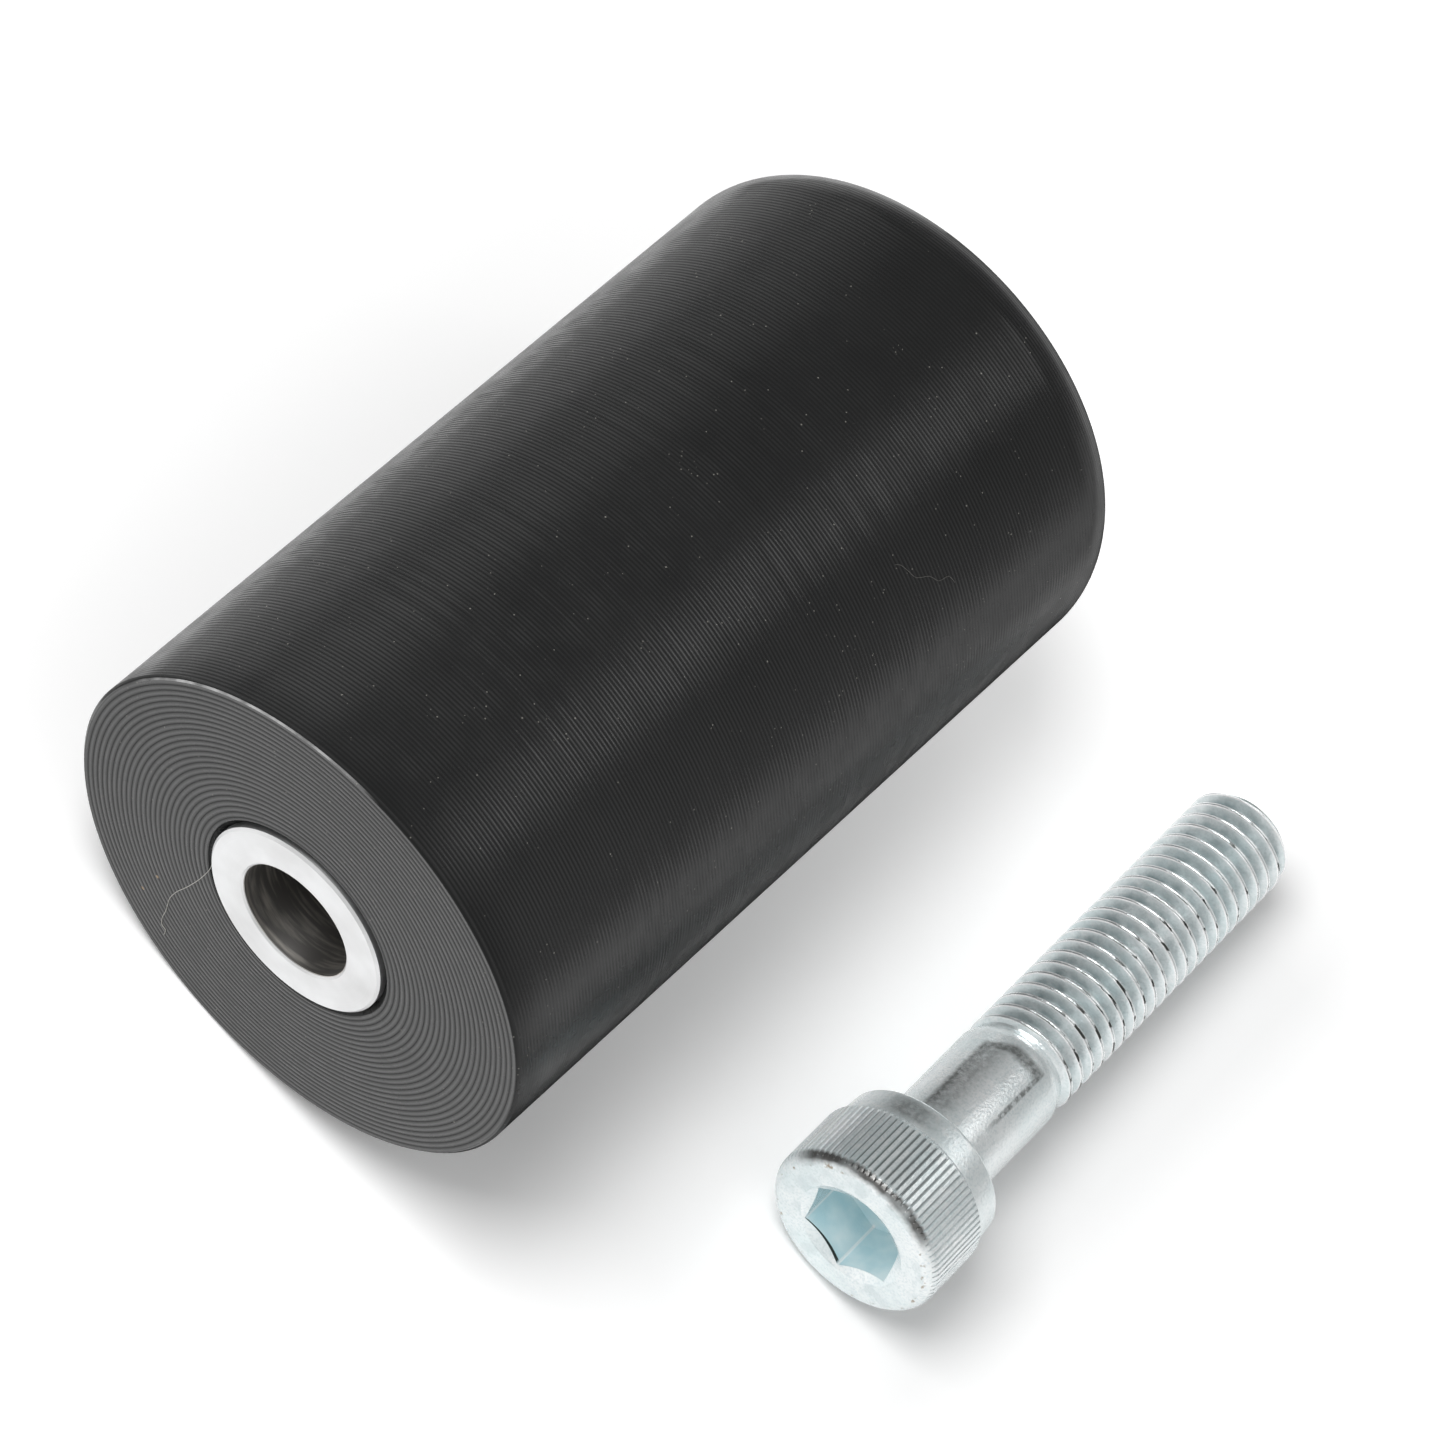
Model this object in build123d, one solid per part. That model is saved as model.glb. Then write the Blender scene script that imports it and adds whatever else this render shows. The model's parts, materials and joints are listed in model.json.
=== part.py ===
from build123d import *
import math
import os

os.makedirs("parts", exist_ok=True)

# Motorcycle frame slider: a turned plastic puck with a pressed-in metal sleeve, lying on its side,
# and its own socket head cap screw lying beside it. All sizes in millimetres and degrees.
# Origin: centre of the sleeve bore in the plane of the puck's mounting end.
# +Y runs along the bore to the outer end, +Z is up, the floor is at -puck_radius.

# slider puck, black plastic
puck_radius = 22.0
puck_length = 74.0
puck_outer_round = 5.7      # rounded edge of the end that meets the road
puck_mount_chamfer = 0.3    # broken edge of the mounting end
hole_chamfer = 0.6          # chamfer of the plastic round the sleeve
counterbore_radius = 10.0   # deep recess in which the screw's head goes
counterbore_chamfer = 0.8

# mounting sleeve, aluminium, pressed in from the recess
sleeve_radius = 8.5
sleeve_bore_radius = 5.15
sleeve_length = 25.3
sleeve_proud = 0.3          # how far it stands out of the mounting end
sleeve_chamfer = 0.22
bore_chamfer = 0.2
flange_thickness = 3.0
flange_clearance = 0.2      # between the flange and the wall of the recess, radial

# cap screw, M10 x 45 within its tolerances, the thread a plain cylinder over its crests
head_radius = 7.9
head_height = 9.65
head_front_round = 1.1
knurl_run_out = 0.25        # the last of that rounding, a cone on which the knurl runs out
head_rear_chamfer = 0.35
band_length = 3.05          # smooth band behind the knurl
band_depth = 0.4            # how far the band lies below the knurl
band_taper = 0.15           # how much thinner the band gets to the rear
knurl_count = 86
knurl_depth = 0.22
knurl_land = 0.3            # share of each knurl pitch that stays whole
socket_across_flats = 8.1
socket_depth = 5.0
socket_bottom_depth = 1.3   # cone below the socket's flats
socket_mouth_radius = 4.95
socket_mouth_angle = 60.0   # between the mouth cone and the axis
socket_turn = 13.2          # how far the socket is turned about the axis
neck_chamfer = 0.4          # under the head
shank_radius = 4.9
shank_length = 11.4
thread_radius = 4.87        # over the crests
thread_neck_radius = 4.5    # where the thread runs out
thread_neck_length = 0.3
thread_run_length = 1.0     # cone from the shank down to that neck
screw_length = 45.8         # under the head
tip_radius = 4.1
tip_chamfer_length = 1.0

# how the screw lies
screw_gap = 17.3            # between the puck's side and the head's, seen from above
screw_setback = 25.28       # from the mounting end to the face of the head
screw_yaw = 0.9             # tip turned towards the puck

cutter_margin = 1.0         # how far a cutter reaches past what it cuts

floor_height = -puck_radius
flange_floor = sleeve_length - sleeve_proud - flange_thickness
flange_radius = counterbore_radius - flange_clearance
screw_total = head_height + screw_length


def turned(edges):
    """Solid of revolution about Y from edges in the XY plane, x the radius and y the length."""
    return revolve(make_face(edges), axis=Axis.Y)


def chain(*points):
    """Straight edges through points."""
    return [Line(a, b) for a, b in zip(points, points[1:])]


def slider_puck():
    """Round plastic body: through hole for the sleeve, deep recess from the outer end."""
    round_centre = (puck_radius - puck_outer_round, puck_length - puck_outer_round)
    before_round = chain(
        (sleeve_radius, flange_floor),
        (sleeve_radius, hole_chamfer),
        (sleeve_radius + hole_chamfer, 0),
        (puck_radius - puck_mount_chamfer, 0),
        (puck_radius, puck_mount_chamfer),
        (puck_radius, puck_length - puck_outer_round),
    )
    after_round = chain(
        (puck_radius - puck_outer_round, puck_length),
        (counterbore_radius + counterbore_chamfer, puck_length),
        (counterbore_radius, puck_length - counterbore_chamfer),
        (counterbore_radius, flange_floor),
        (sleeve_radius, flange_floor),
    )
    rounding = CenterArc(round_centre, puck_outer_round, 0, 90)
    return turned([*before_round, rounding, *after_round])


def mounting_sleeve():
    """Flanged bush: its end stands a little out of the plastic, its flange seats in the recess."""
    near = -sleeve_proud
    far = near + sleeve_length
    outline = chain(
        (sleeve_bore_radius, near + bore_chamfer),
        (sleeve_bore_radius + bore_chamfer, near),
        (sleeve_radius - sleeve_chamfer, near),
        (sleeve_radius, near + sleeve_chamfer),
        (sleeve_radius, flange_floor),
        (flange_radius, flange_floor),
        (flange_radius, far - sleeve_chamfer),
        (flange_radius - sleeve_chamfer, far),
        (sleeve_bore_radius + bore_chamfer, far),
        (sleeve_bore_radius, far - bore_chamfer),
        (sleeve_bore_radius, near + bore_chamfer),
    )
    return turned(outline)


def screw_blank():
    """Head, shank and thread before the knurl and the socket are cut, head face at y = 0."""
    knurl_end = head_height - band_length
    band_radius = head_radius - band_depth
    rear_radius = band_radius - band_taper
    shank_end = head_height + shank_length
    neck_start = shank_end + thread_run_length
    neck_end = neck_start + thread_neck_length
    round_centre = (head_radius - head_front_round, head_front_round)
    cone_angle = math.acos(1 - knurl_run_out / head_front_round)
    cone_start = head_front_round * (1 - math.sin(cone_angle))
    rounding = CenterArc(round_centre, head_front_round, 270, 90 - math.degrees(cone_angle))
    before_round = chain((0, 0), (head_radius - head_front_round, 0))
    after_round = chain(
        (head_radius - knurl_run_out, cone_start),
        (head_radius, head_front_round),
        (head_radius, knurl_end),
        (band_radius, knurl_end + band_depth),
        (rear_radius, head_height - head_rear_chamfer),
        (rear_radius - head_rear_chamfer, head_height),
        (shank_radius + neck_chamfer, head_height),
        (shank_radius, head_height + neck_chamfer),
        (shank_radius, shank_end),
        (thread_neck_radius, neck_start),
        (thread_neck_radius, neck_end),
        (thread_radius, neck_end + thread_radius - thread_neck_radius),
        (thread_radius, screw_total - tip_chamfer_length),
        (tip_radius, screw_total),
        (0, screw_total),
        (0, 0),
    )
    return turned([*before_round, rounding, *after_round])


def knurl_cutter():
    """Ring whose inner teeth cut the straight knurl, one crest pointing straight down."""
    pitch = 360 / knurl_count
    overshoot = knurl_land / 2
    outer = head_radius + overshoot * knurl_depth
    root = head_radius - knurl_depth
    half_crest = pitch / 2 * (1 - (1 - knurl_land) * (1 + overshoot))
    star = []
    for index in range(knurl_count):
        crest = index * pitch - 90
        for turn, radius in ((-half_crest, outer), (half_crest, outer), (pitch / 2, root)):
            angle = math.radians(crest + turn)
            star.append((radius * math.cos(angle), radius * math.sin(angle)))
    ring = Circle(head_radius + cutter_margin) - make_face(Polyline(*star, close=True))
    knurl_end = head_height - band_length
    return extrude(Plane.XZ * ring, amount=-knurl_end)


def hex_socket():
    """Hexagon with a countersunk mouth and a shallow cone at the bottom, along +Y from y = 0."""
    flat_radius = socket_across_flats / 2
    corner_radius = flat_radius / math.cos(math.radians(30))
    mouth_depth = socket_mouth_radius / math.tan(math.radians(socket_mouth_angle))
    hexagon = Plane.XZ * RegularPolygon(corner_radius, 6)
    prism = extrude(hexagon, amount=-socket_depth)
    mouth = turned(chain((0, 0), (socket_mouth_radius, 0), (0, mouth_depth), (0, 0)))
    bottom = turned(chain(
        (0, socket_depth),
        (flat_radius, socket_depth),
        (0, socket_depth + socket_bottom_depth),
        (0, socket_depth),
    ))
    return Rot(0, socket_turn, 0) * (prism + mouth + bottom)


def cap_screw():
    """Whole screw along +Y from the face of its head."""
    return screw_blank() - knurl_cutter() - hex_socket()


def lay_down(screw):
    """Rest the screw on the rear of its knurl and the last full crest of its thread."""
    head_contact = head_height - band_length
    thread_contact = screw_total - tip_chamfer_length
    tilt = math.atan((head_radius - thread_radius) / (thread_contact - head_contact))
    height = floor_height + head_radius * math.cos(tilt) + head_contact * math.sin(tilt)
    across = puck_radius + screw_gap + head_radius
    place = Pos(across, screw_setback, height)
    return place * Rot(0, 0, screw_yaw) * Rot(-math.degrees(tilt), 0, 0) * screw


export_step(slider_puck(), "parts/slider_puck.step")
export_step(mounting_sleeve(), "parts/mounting_sleeve.step")
export_step(lay_down(cap_screw()), "parts/cap_screw.step")
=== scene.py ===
import json
import math
import random

import bmesh
import bpy
from mathutils import Euler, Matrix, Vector


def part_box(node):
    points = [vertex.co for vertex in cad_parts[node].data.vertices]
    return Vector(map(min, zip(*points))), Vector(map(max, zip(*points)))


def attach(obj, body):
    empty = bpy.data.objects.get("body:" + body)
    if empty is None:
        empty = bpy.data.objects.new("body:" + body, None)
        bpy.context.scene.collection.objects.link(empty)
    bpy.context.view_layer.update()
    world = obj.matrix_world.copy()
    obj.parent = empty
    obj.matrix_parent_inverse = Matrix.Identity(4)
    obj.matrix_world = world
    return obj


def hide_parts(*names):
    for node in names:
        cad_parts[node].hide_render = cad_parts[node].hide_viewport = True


# A motorcycle frame slider on a white table: a turned black puck with its pressed-in sleeve,
# lying on its side, and its zinc plated cap screw beside it. Sizes in the dictionaries are in
# millimetres and degrees unless a note says otherwise; the puck's bore runs along +Y.

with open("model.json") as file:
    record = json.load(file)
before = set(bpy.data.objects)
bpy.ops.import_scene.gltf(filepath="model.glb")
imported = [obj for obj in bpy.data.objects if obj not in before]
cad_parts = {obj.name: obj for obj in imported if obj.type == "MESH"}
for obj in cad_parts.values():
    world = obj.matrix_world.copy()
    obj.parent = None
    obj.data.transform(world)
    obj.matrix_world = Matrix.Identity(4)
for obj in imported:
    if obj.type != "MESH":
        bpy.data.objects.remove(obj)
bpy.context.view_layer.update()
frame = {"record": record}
mm = 0.001
full = 2 * math.pi
white = (1, 1, 1, 1)

puckLow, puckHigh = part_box("slider_puck")
sleeveLow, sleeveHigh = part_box("mounting_sleeve")
mounts = {mount["name"]: mount for mount in frame["record"]["mounts"]}


# camera

view = {
    "place": (2.51, -215.27, 424.24),
    "turn": (20.945, -23.347, 44.280),
    "lens": 158.56,
    "sensor": 36.0,
    "nearest": 10.0,
    "farthest": 20000.0,
}


def makeCamera():
    data = bpy.data.cameras.new("camera")
    data.sensor_width = view["sensor"]
    data.lens = view["lens"]
    data.clip_start = view["nearest"] * mm
    data.clip_end = view["farthest"] * mm
    camera = bpy.data.objects.new("camera", data)
    camera.location = Vector(view["place"]) * mm
    camera.rotation_euler = Euler([math.radians(angle) for angle in view["turn"]])
    bpy.context.collection.objects.link(camera)
    bpy.context.scene.camera = camera


makeCamera()
print("camera placed")


# mesh helpers

def aroundY(radius, angle, along):
    return Vector((radius * math.cos(angle), along, radius * math.sin(angle)))


def gridFaces(rows, columns, closed):
    faces = []
    last = columns if closed else columns - 1
    for row in range(rows - 1):
        start = row * columns
        for column in range(last):
            following = (column + 1) % columns
            faces.append((
                start + column,
                start + columns + column,
                start + columns + following,
                start + following,
            ))
    return faces


def finishMesh(name, points, faces, sharpAngle, material):
    mesh = bpy.data.meshes.new(name)
    mesh.from_pydata(points, [], faces)
    work = bmesh.new()
    work.from_mesh(mesh)
    bmesh.ops.remove_doubles(work, verts=work.verts, dist=1e-7)
    bmesh.ops.dissolve_degenerate(work, edges=work.edges, dist=1e-8)
    bmesh.ops.recalc_face_normals(work, faces=work.faces)
    limit = math.radians(sharpAngle)
    for face in work.faces:
        face.smooth = True
    for edge in work.edges:
        edge.smooth = edge.calc_face_angle(0) < limit
    work.to_mesh(mesh)
    work.free()
    mesh.materials.append(material)
    piece = bpy.data.objects.new(name, mesh)
    bpy.context.collection.objects.link(piece)
    return piece


def arcRows(centre, radius, start, end, steps):
    rows = []
    for step in range(steps + 1):
        angle = math.radians(start + (end - start) * step / steps)
        rows.append((centre[0] + radius * math.cos(angle), centre[1] + radius * math.sin(angle)))
    return rows


# material helpers

class Shader:
    def __init__(self, name):
        self.material = bpy.data.materials.new(name)
        self.material.use_nodes = True
        self.tree = self.material.node_tree
        self.surface = self.tree.nodes["Principled BSDF"]
        coordinates = self.node("ShaderNodeTexCoord")
        self.place = coordinates.outputs["Object"]

    def node(self, kind, **settings):
        made = self.tree.nodes.new(kind)
        for name, value in settings.items():
            setattr(made, name, value)
        return made

    def link(self, source, target):
        self.tree.links.new(source, target)

    def put(self, target, value):
        if isinstance(value, (int, float, tuple)):
            target.default_value = value
        else:
            self.link(value, target)

    def maths(self, operation, first, second=0.0, third=0.0):
        made = self.node("ShaderNodeMath", operation=operation)
        for socket, value in zip(made.inputs, (first, second, third)):
            self.put(socket, value)
        return made.outputs[0]

    def product(self, first, *others):
        for other in others:
            first = self.maths("MULTIPLY", first, other)
        return first

    def under(self, value, limit):
        return self.maths("LESS_THAN", value, limit)

    def over(self, value, limit):
        return self.maths("GREATER_THAN", value, limit)

    def offset(self, value, centre):
        # distance of a value from a centre, whatever its sign
        return self.maths("ABSOLUTE", self.maths("SUBTRACT", value, centre))

    def split(self, source):
        made = self.node("ShaderNodeSeparateXYZ")
        self.link(source, made.inputs[0])
        return made.outputs["X"], made.outputs["Y"], made.outputs["Z"]

    def join(self, first, second):
        made = self.node("ShaderNodeCombineXYZ")
        self.link(first, made.inputs["X"])
        self.link(second, made.inputs["Y"])
        return made.outputs[0]

    def length(self, first, second):
        square = self.maths("MULTIPLY", second, second)
        return self.maths("SQRT", self.maths("MULTIPLY_ADD", first, first, square))

    def vector(self, operation, first, second=(0, 0, 0), output="Vector"):
        made = self.node("ShaderNodeVectorMath", operation=operation)
        self.put(made.inputs[0], first)
        self.put(made.inputs[1], second)
        return made.outputs[output]

    def ramp(self, value, low, high, lowTo=0.0, highTo=1.0):
        made = self.node("ShaderNodeMapRange")
        self.put(made.inputs["Value"], value)
        self.put(made.inputs["From Min"], low)
        self.put(made.inputs["From Max"], high)
        self.put(made.inputs["To Min"], lowTo)
        self.put(made.inputs["To Max"], highTo)
        return made.outputs["Result"]

    def between(self, value, places, *shares):
        # a ramp between two places in millimetres
        return self.ramp(value, places[0] * mm, places[1] * mm, *shares)

    def stretched(self, scale):
        made = self.node("ShaderNodeMapping")
        self.link(self.place, made.inputs["Vector"])
        made.inputs["Scale"].default_value = scale
        return made.outputs["Vector"]

    def noise(self, scale, detail=2.0, source=None, roughness=0.5):
        made = self.node("ShaderNodeTexNoise")
        self.link(source or self.place, made.inputs["Vector"])
        made.inputs["Scale"].default_value = scale
        made.inputs["Detail"].default_value = detail
        made.inputs["Roughness"].default_value = roughness
        return made.outputs["Fac"]

    def pattern(self, scale, detail, *limits):
        # a cloudy pattern: its scale and detail, then where it begins and is full, and how strong there
        return self.ramp(self.noise(scale, detail), *limits)

    def cells(self, scale):
        made = self.node("ShaderNodeTexVoronoi")
        self.link(self.place, made.inputs["Vector"])
        made.inputs["Scale"].default_value = scale
        return made.outputs["Distance"]

    def mixed(self, amount, first, second):
        made = self.node("ShaderNodeMix", data_type="FLOAT")
        self.put(made.inputs[0], amount)
        self.put(made.inputs[2], first)
        self.put(made.inputs[3], second)
        return made.outputs[0]

    def wave(self, length, start, pitch):
        # rises from 0 to 1 and falls back once a pitch, lowest half a pitch after the start
        turns = self.maths("DIVIDE", self.maths("SUBTRACT", length, start * mm), pitch * mm)
        return self.maths("PINGPONG", self.maths("MULTIPLY_ADD", turns, 2.0, 1.0), 1.0)

    def blend(self, amount, first, second):
        made = self.node("ShaderNodeMix", data_type="RGBA")
        self.put(made.inputs[0], amount)
        self.put(made.inputs[6], first)
        self.put(made.inputs[7], second)
        return made.outputs[2]

    def bump(self, height, depth, strength=1.0, normal=None):
        made = self.node("ShaderNodeBump")
        made.inputs["Strength"].default_value = strength
        made.inputs["Distance"].default_value = depth
        self.link(height, made.inputs["Height"])
        if normal:
            self.link(normal, made.inputs["Normal"])
        return made.outputs["Normal"]


# puck: turned black plastic

puck = {
    "outerRound": 5.7,
    "mountChamfer": 0.3,
    "sleeveRadius": 8.5,
    "holeChamfer": 0.6,
    "recessRadius": 10.0,
    "recessChamfer": 0.8,
    "recessFloor": 22.0,
    "sidePitch": 0.345,         # feed of the tool along the side
    "sideDepth": 0.020,
    "facePitch": 0.4975,        # feed of the tool across the mounting end
    "faceDepth": 0.026,
    "wander": (0.55, 1.25),     # least and most of a groove's depth
    "bite": (0.35, 0.8, 0.7),   # its share at both ends of the side, and how it leans and swells between
    "roundSteps": 24,
    "segments": 176,
    "sharpAngle": 3.2,
    "colour": (0.0130, 0.0133, 0.0133, 1),
    "paleColour": (0.0175, 0.0178, 0.0178, 1),
    "dustColour": (0.32, 0.31, 0.28, 1),
    # a painted highlight along the top of the mounting end's edge
    "edgeHighlightColour": (0.42, 0.42, 0.42, 1),
    "soilColour": (0.26, 0.18, 0.10, 1),
    "soil": (((-9.5, -12.84), 0.17), ((-9.62, -16.02), 0.2)),     # x and z on the mounting end, radius
    "soilEdge": (5000, 2, 0.3, 0.7),
    "soilRagged": 0.06,
    "soilCore": 0.6,            # share of a speck's radius with the full colour
    "hairColour": (0.40, 0.39, 0.36, 1),
    "sideHairColour": (0.085, 0.083, 0.078, 1),
    "hairRadius": 0.03,
    "hairLift": 0.8,            # how far its middle is off the surface, by its radius
    "hairTaper": 0.5,
    "hairSteps": 3,
    "hairSides": 5,
    "endHair": (        # x and z on the mounting end
        (-7.47, -3.93), (-7.16, -5.08), (-7.11, -6.99), (-7.21, -8.71), (-7.37, -10.23), (-7.62, -11.89),
        (-7.65, -13.46), (-7.36, -14.71), (-7.12, -15.64), (-6.96, -16.75), (-6.59, -17.61),
        (-6.09, -17.76), (-5.9, -18.59),
    ),
    "sideHair": (       # degrees from the top towards +X, and y
        (25.6, 47.9), (26.5, 48.4), (28.77, 48.83), (31.09, 49.29), (32.81, 50.48), (35.24, 51.2),
        (35.92, 52.24), (38.22, 52.65),
    ),
    "roughness": (400, 3, 0.3, 0.7, 0.22, 0.32),    # a pattern, as cloud, the edge highlight's patches and soilEdge
    "refraction": 1.45,
    "grain": (2600, 2),
    "grainDepth": 0.006,
    "grainStrength": 0.5,
    "valleyShine": 0.05,        # specular level at the bottom of a groove and on its crest
    "crestShine": 0.95,
    "nearShine": 0.45,          # share of it close to the mounting end, where the side is blacker
    "nearLength": 3.5,
    "smoothing": (0.45, 0.72, 0.0, 0.8),    # of the grooves, by x as a share of the radius
    "leftShine": (              # each ramp: slant to the view from and to, share of the shine there
        ("MINIMUM", (0.34, 0.48, 1.0, 0.42)),
        ("MINIMUM", (0.60, 0.67, 1.0, 0.30)),
        ("MAXIMUM", (0.71, 0.77, 0.0, 1.0)),
        ("MINIMUM", (0.79, 0.86, 1.0, 0.35)),
    ),
    "rightShine": (0.44, 0.56, 1.0, 0.25),
    "grazingShine": (0.66, 1.0, 1.0, 0.0),
    "grazingPower": 4.5,
    "rightSide": (7, 11),       # x where the dull right side begins
    "roundSide": (-14, -7),     # x where the dull part of the rounding begins
    "roundBlend": 0.7,
    "topSlants": (0.40, 0.32, 0.0, 1.0),
    "topLength": (10, 65),
    "topFade": 0.45,            # share of the top's shine lost towards the outer end
    "faceLimit": 0.1,           # what lies nearer than this is the mounting end
    "cloud": (90, 4, 0.3, 0.7, 0.0, 0.6),       # scales are per metre
    "dust": ((900, 0.64, 0.08), (1700, 0.63, 0.12)),    # scale, rarity, size in cells
    "dustStrength": 0.7,
    "dustPatches": 3.4,         # how much wider the pattern that picks the specks is
    # where the painted highlight lies along the edge of the mounting end
    "edgeHighlightWidth": 0.34,
    "edgeHighlightDepth": 0.12,
    "edgeHighlightSide": (-0.1, -0.4),   # x as a share of the radius
    "edgeHighlightHeight": (5, 12),
    "edgeHighlightPatches": (500, 2, 0.35, 0.6, 0.35, 1.0),
    "hairGap": 0.003,           # everything farther out than this is a hair
}


def plasticShine(shader, across, along, outward, onFace):
    # 1 on the crest of a groove and 0 at its bottom, in step with the modelled grooves
    sideCrest = shader.wave(along, puck["mountChamfer"], puck["sidePitch"])
    faceCrest = shader.wave(outward, puck["sleeveRadius"] + puck["holeChamfer"], puck["facePitch"])
    # the side gets smoother towards the screw
    smooth = shader.ramp(shader.maths("DIVIDE", across, outward), *puck["smoothing"])
    crest = shader.mixed(onFace, shader.mixed(smooth, sideCrest, 0.5), faceCrest)
    shine = shader.ramp(crest, 0.0, 1.0, puck["valleyShine"], puck["crestShine"])
    near = shader.between(along, (puck["mountChamfer"], puck["nearLength"]), puck["nearShine"], 1.0)
    shine = shader.product(shine, shader.mixed(onFace, near, 1.0))

    # shinier along the left edge, duller along the right edge, on the rounding and along the top
    slant = shader.node("ShaderNodeLayerWeight").outputs["Facing"]
    left = 1.0
    for operation, limits in puck["leftShine"]:
        left = shader.maths(operation, left, shader.ramp(slant, *limits))
    grazing = shader.maths("POWER", shader.ramp(slant, *puck["grazingShine"]), puck["grazingPower"])
    dull = shader.product(shader.ramp(slant, *puck["rightShine"]), grazing)
    roundStart = puckHigh[1] - puck["outerRound"] * mm
    onRound = shader.ramp(along, roundStart, roundStart + puck["roundBlend"] * mm)
    onRound = shader.product(onRound, shader.between(across, puck["roundSide"]))
    right = shader.maths("MAXIMUM", shader.between(across, puck["rightSide"]), onRound)
    sheen = shader.mixed(right, left, dull)
    fade = shader.between(along, puck["topLength"], 0.0, puck["topFade"])
    top = shader.product(shader.ramp(slant, *puck["topSlants"]), fade)
    sheen = shader.product(sheen, shader.maths("SUBTRACT", 1.0, top))
    return shader.product(shine, shader.mixed(onFace, sheen, 1.0))


def plasticColour(shader, across, along, upward, outward):
    base = shader.blend(shader.pattern(*puck["cloud"]), puck["colour"], puck["paleColour"])
    # a painted highlight: the sharp edge of the mounting end is paler along its top
    edge = shader.product(
        shader.over(outward, puckHigh[0] - puck["edgeHighlightWidth"] * mm),
        shader.under(along, puck["edgeHighlightDepth"] * mm),
        shader.ramp(shader.maths("DIVIDE", across, outward), *puck["edgeHighlightSide"]),
        shader.between(upward, puck["edgeHighlightHeight"]),
        shader.pattern(*puck["edgeHighlightPatches"]))
    base = shader.blend(edge, base, puck["edgeHighlightColour"])
    ragged = puck["soilRagged"] * mm
    for (x, z), size in puck["soil"]:
        distance = shader.vector("DISTANCE", shader.place, (x * mm, 0, z * mm), "Value")
        distance = shader.maths("ADD", distance, shader.pattern(*puck["soilEdge"], -ragged, ragged))
        soil = shader.ramp(distance, size * mm, size * puck["soilCore"] * mm)
        base = shader.blend(soil, base, puck["soilColour"])
    for scale, rarity, size in puck["dust"]:
        near = shader.ramp(shader.cells(scale), size / 3, size, puck["dustStrength"], 0.0)
        picked = shader.over(shader.noise(scale / puck["dustPatches"], 0), rarity)
        base = shader.blend(shader.product(near, picked), base, puck["dustColour"])
    # the two hairs are all that stands proud of the mounting end and of the side
    gap = puck["hairGap"] * mm
    base = shader.blend(shader.under(along, -gap), base, puck["hairColour"])
    return shader.blend(shader.over(outward, puckHigh[0] + gap), base, puck["sideHairColour"])


def plasticMaterial():
    shader = Shader("black_plastic")
    surface = shader.surface
    across, along, upward = shader.split(shader.place)
    outward = shader.length(across, upward)
    onFace = shader.under(along, puck["faceLimit"] * mm)
    shine = plasticShine(shader, across, along, outward, onFace)
    shader.link(shine, surface.inputs["Specular IOR Level"])
    base = plasticColour(shader, across, along, upward, outward)
    shader.link(base, surface.inputs["Base Color"])
    shader.link(shader.pattern(*puck["roughness"]), surface.inputs["Roughness"])
    surface.inputs["IOR"].default_value = puck["refraction"]
    grain = shader.bump(shader.noise(*puck["grain"]), puck["grainDepth"] * mm, puck["grainStrength"])
    shader.link(grain, surface.inputs["Normal"])
    return shader.material


def grooveDepth(index, share, amount):
    # every cut is a little different, and the tool bites less towards both ends of the side
    wander = random.Random(index * 7 + 1).uniform(*puck["wander"])
    least, lean, swell = puck["bite"]
    fade = least + (1 - least) * math.sin(math.pi * min(1.0, max(0.0, share)) ** lean) ** swell
    return amount * wander * fade


def puckRows():
    radius = puckHigh[0] / mm
    length = puckHigh[1] / mm
    hole = puck["sleeveRadius"]
    recess = puck["recessRadius"]
    rows = [(hole, puck["recessFloor"]), (hole, puck["holeChamfer"]), (hole + puck["holeChamfer"], 0)]
    faceEnd = radius - puck["mountChamfer"]
    across = hole + puck["holeChamfer"]
    count = int((faceEnd - across) / puck["facePitch"])
    for index in range(count):
        start = across + puck["facePitch"] * (index + 0.5)
        depth = grooveDepth(index, 0.5, puck["faceDepth"])
        rows.append((start, depth))
        rows.append((start + puck["facePitch"] / 2, 0))
    rows[-1] = (faceEnd, 0)
    rows.append((radius, puck["mountChamfer"]))
    sideEnd = length - puck["outerRound"]
    along = puck["mountChamfer"]
    count = int((sideEnd - along) / puck["sidePitch"])
    for index in range(count):
        start = along + puck["sidePitch"] * (index + 0.5)
        share = (index + 0.5) / count
        rows.append((radius - grooveDepth(index, share, puck["sideDepth"]), start))
        rows.append((radius, start + puck["sidePitch"] / 2))
    centre = (radius - puck["outerRound"], sideEnd)
    rows += arcRows(centre, puck["outerRound"], 0, 90, puck["roundSteps"])
    rows += [
        (recess + puck["recessChamfer"], length),
        (recess, length - puck["recessChamfer"]),
        (recess, puck["recessFloor"]),
        (hole, puck["recessFloor"]),
    ]
    return rows


def smoothPath(corners, steps):
    # a curve through the corners
    path = []
    for index in range(len(corners) - 1):
        before = corners[max(index - 1, 0)]
        start = corners[index]
        end = corners[index + 1]
        after = corners[min(index + 2, len(corners) - 1)]
        for step in range(steps):
            t = step / steps
            path.append(0.5 * (
                2 * start + (end - before) * t + (2 * before - 5 * start + 4 * end - after) * t ** 2
                + (3 * start - before - 3 * end + after) * t ** 3))
    path.append(corners[-1])
    return path


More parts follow.
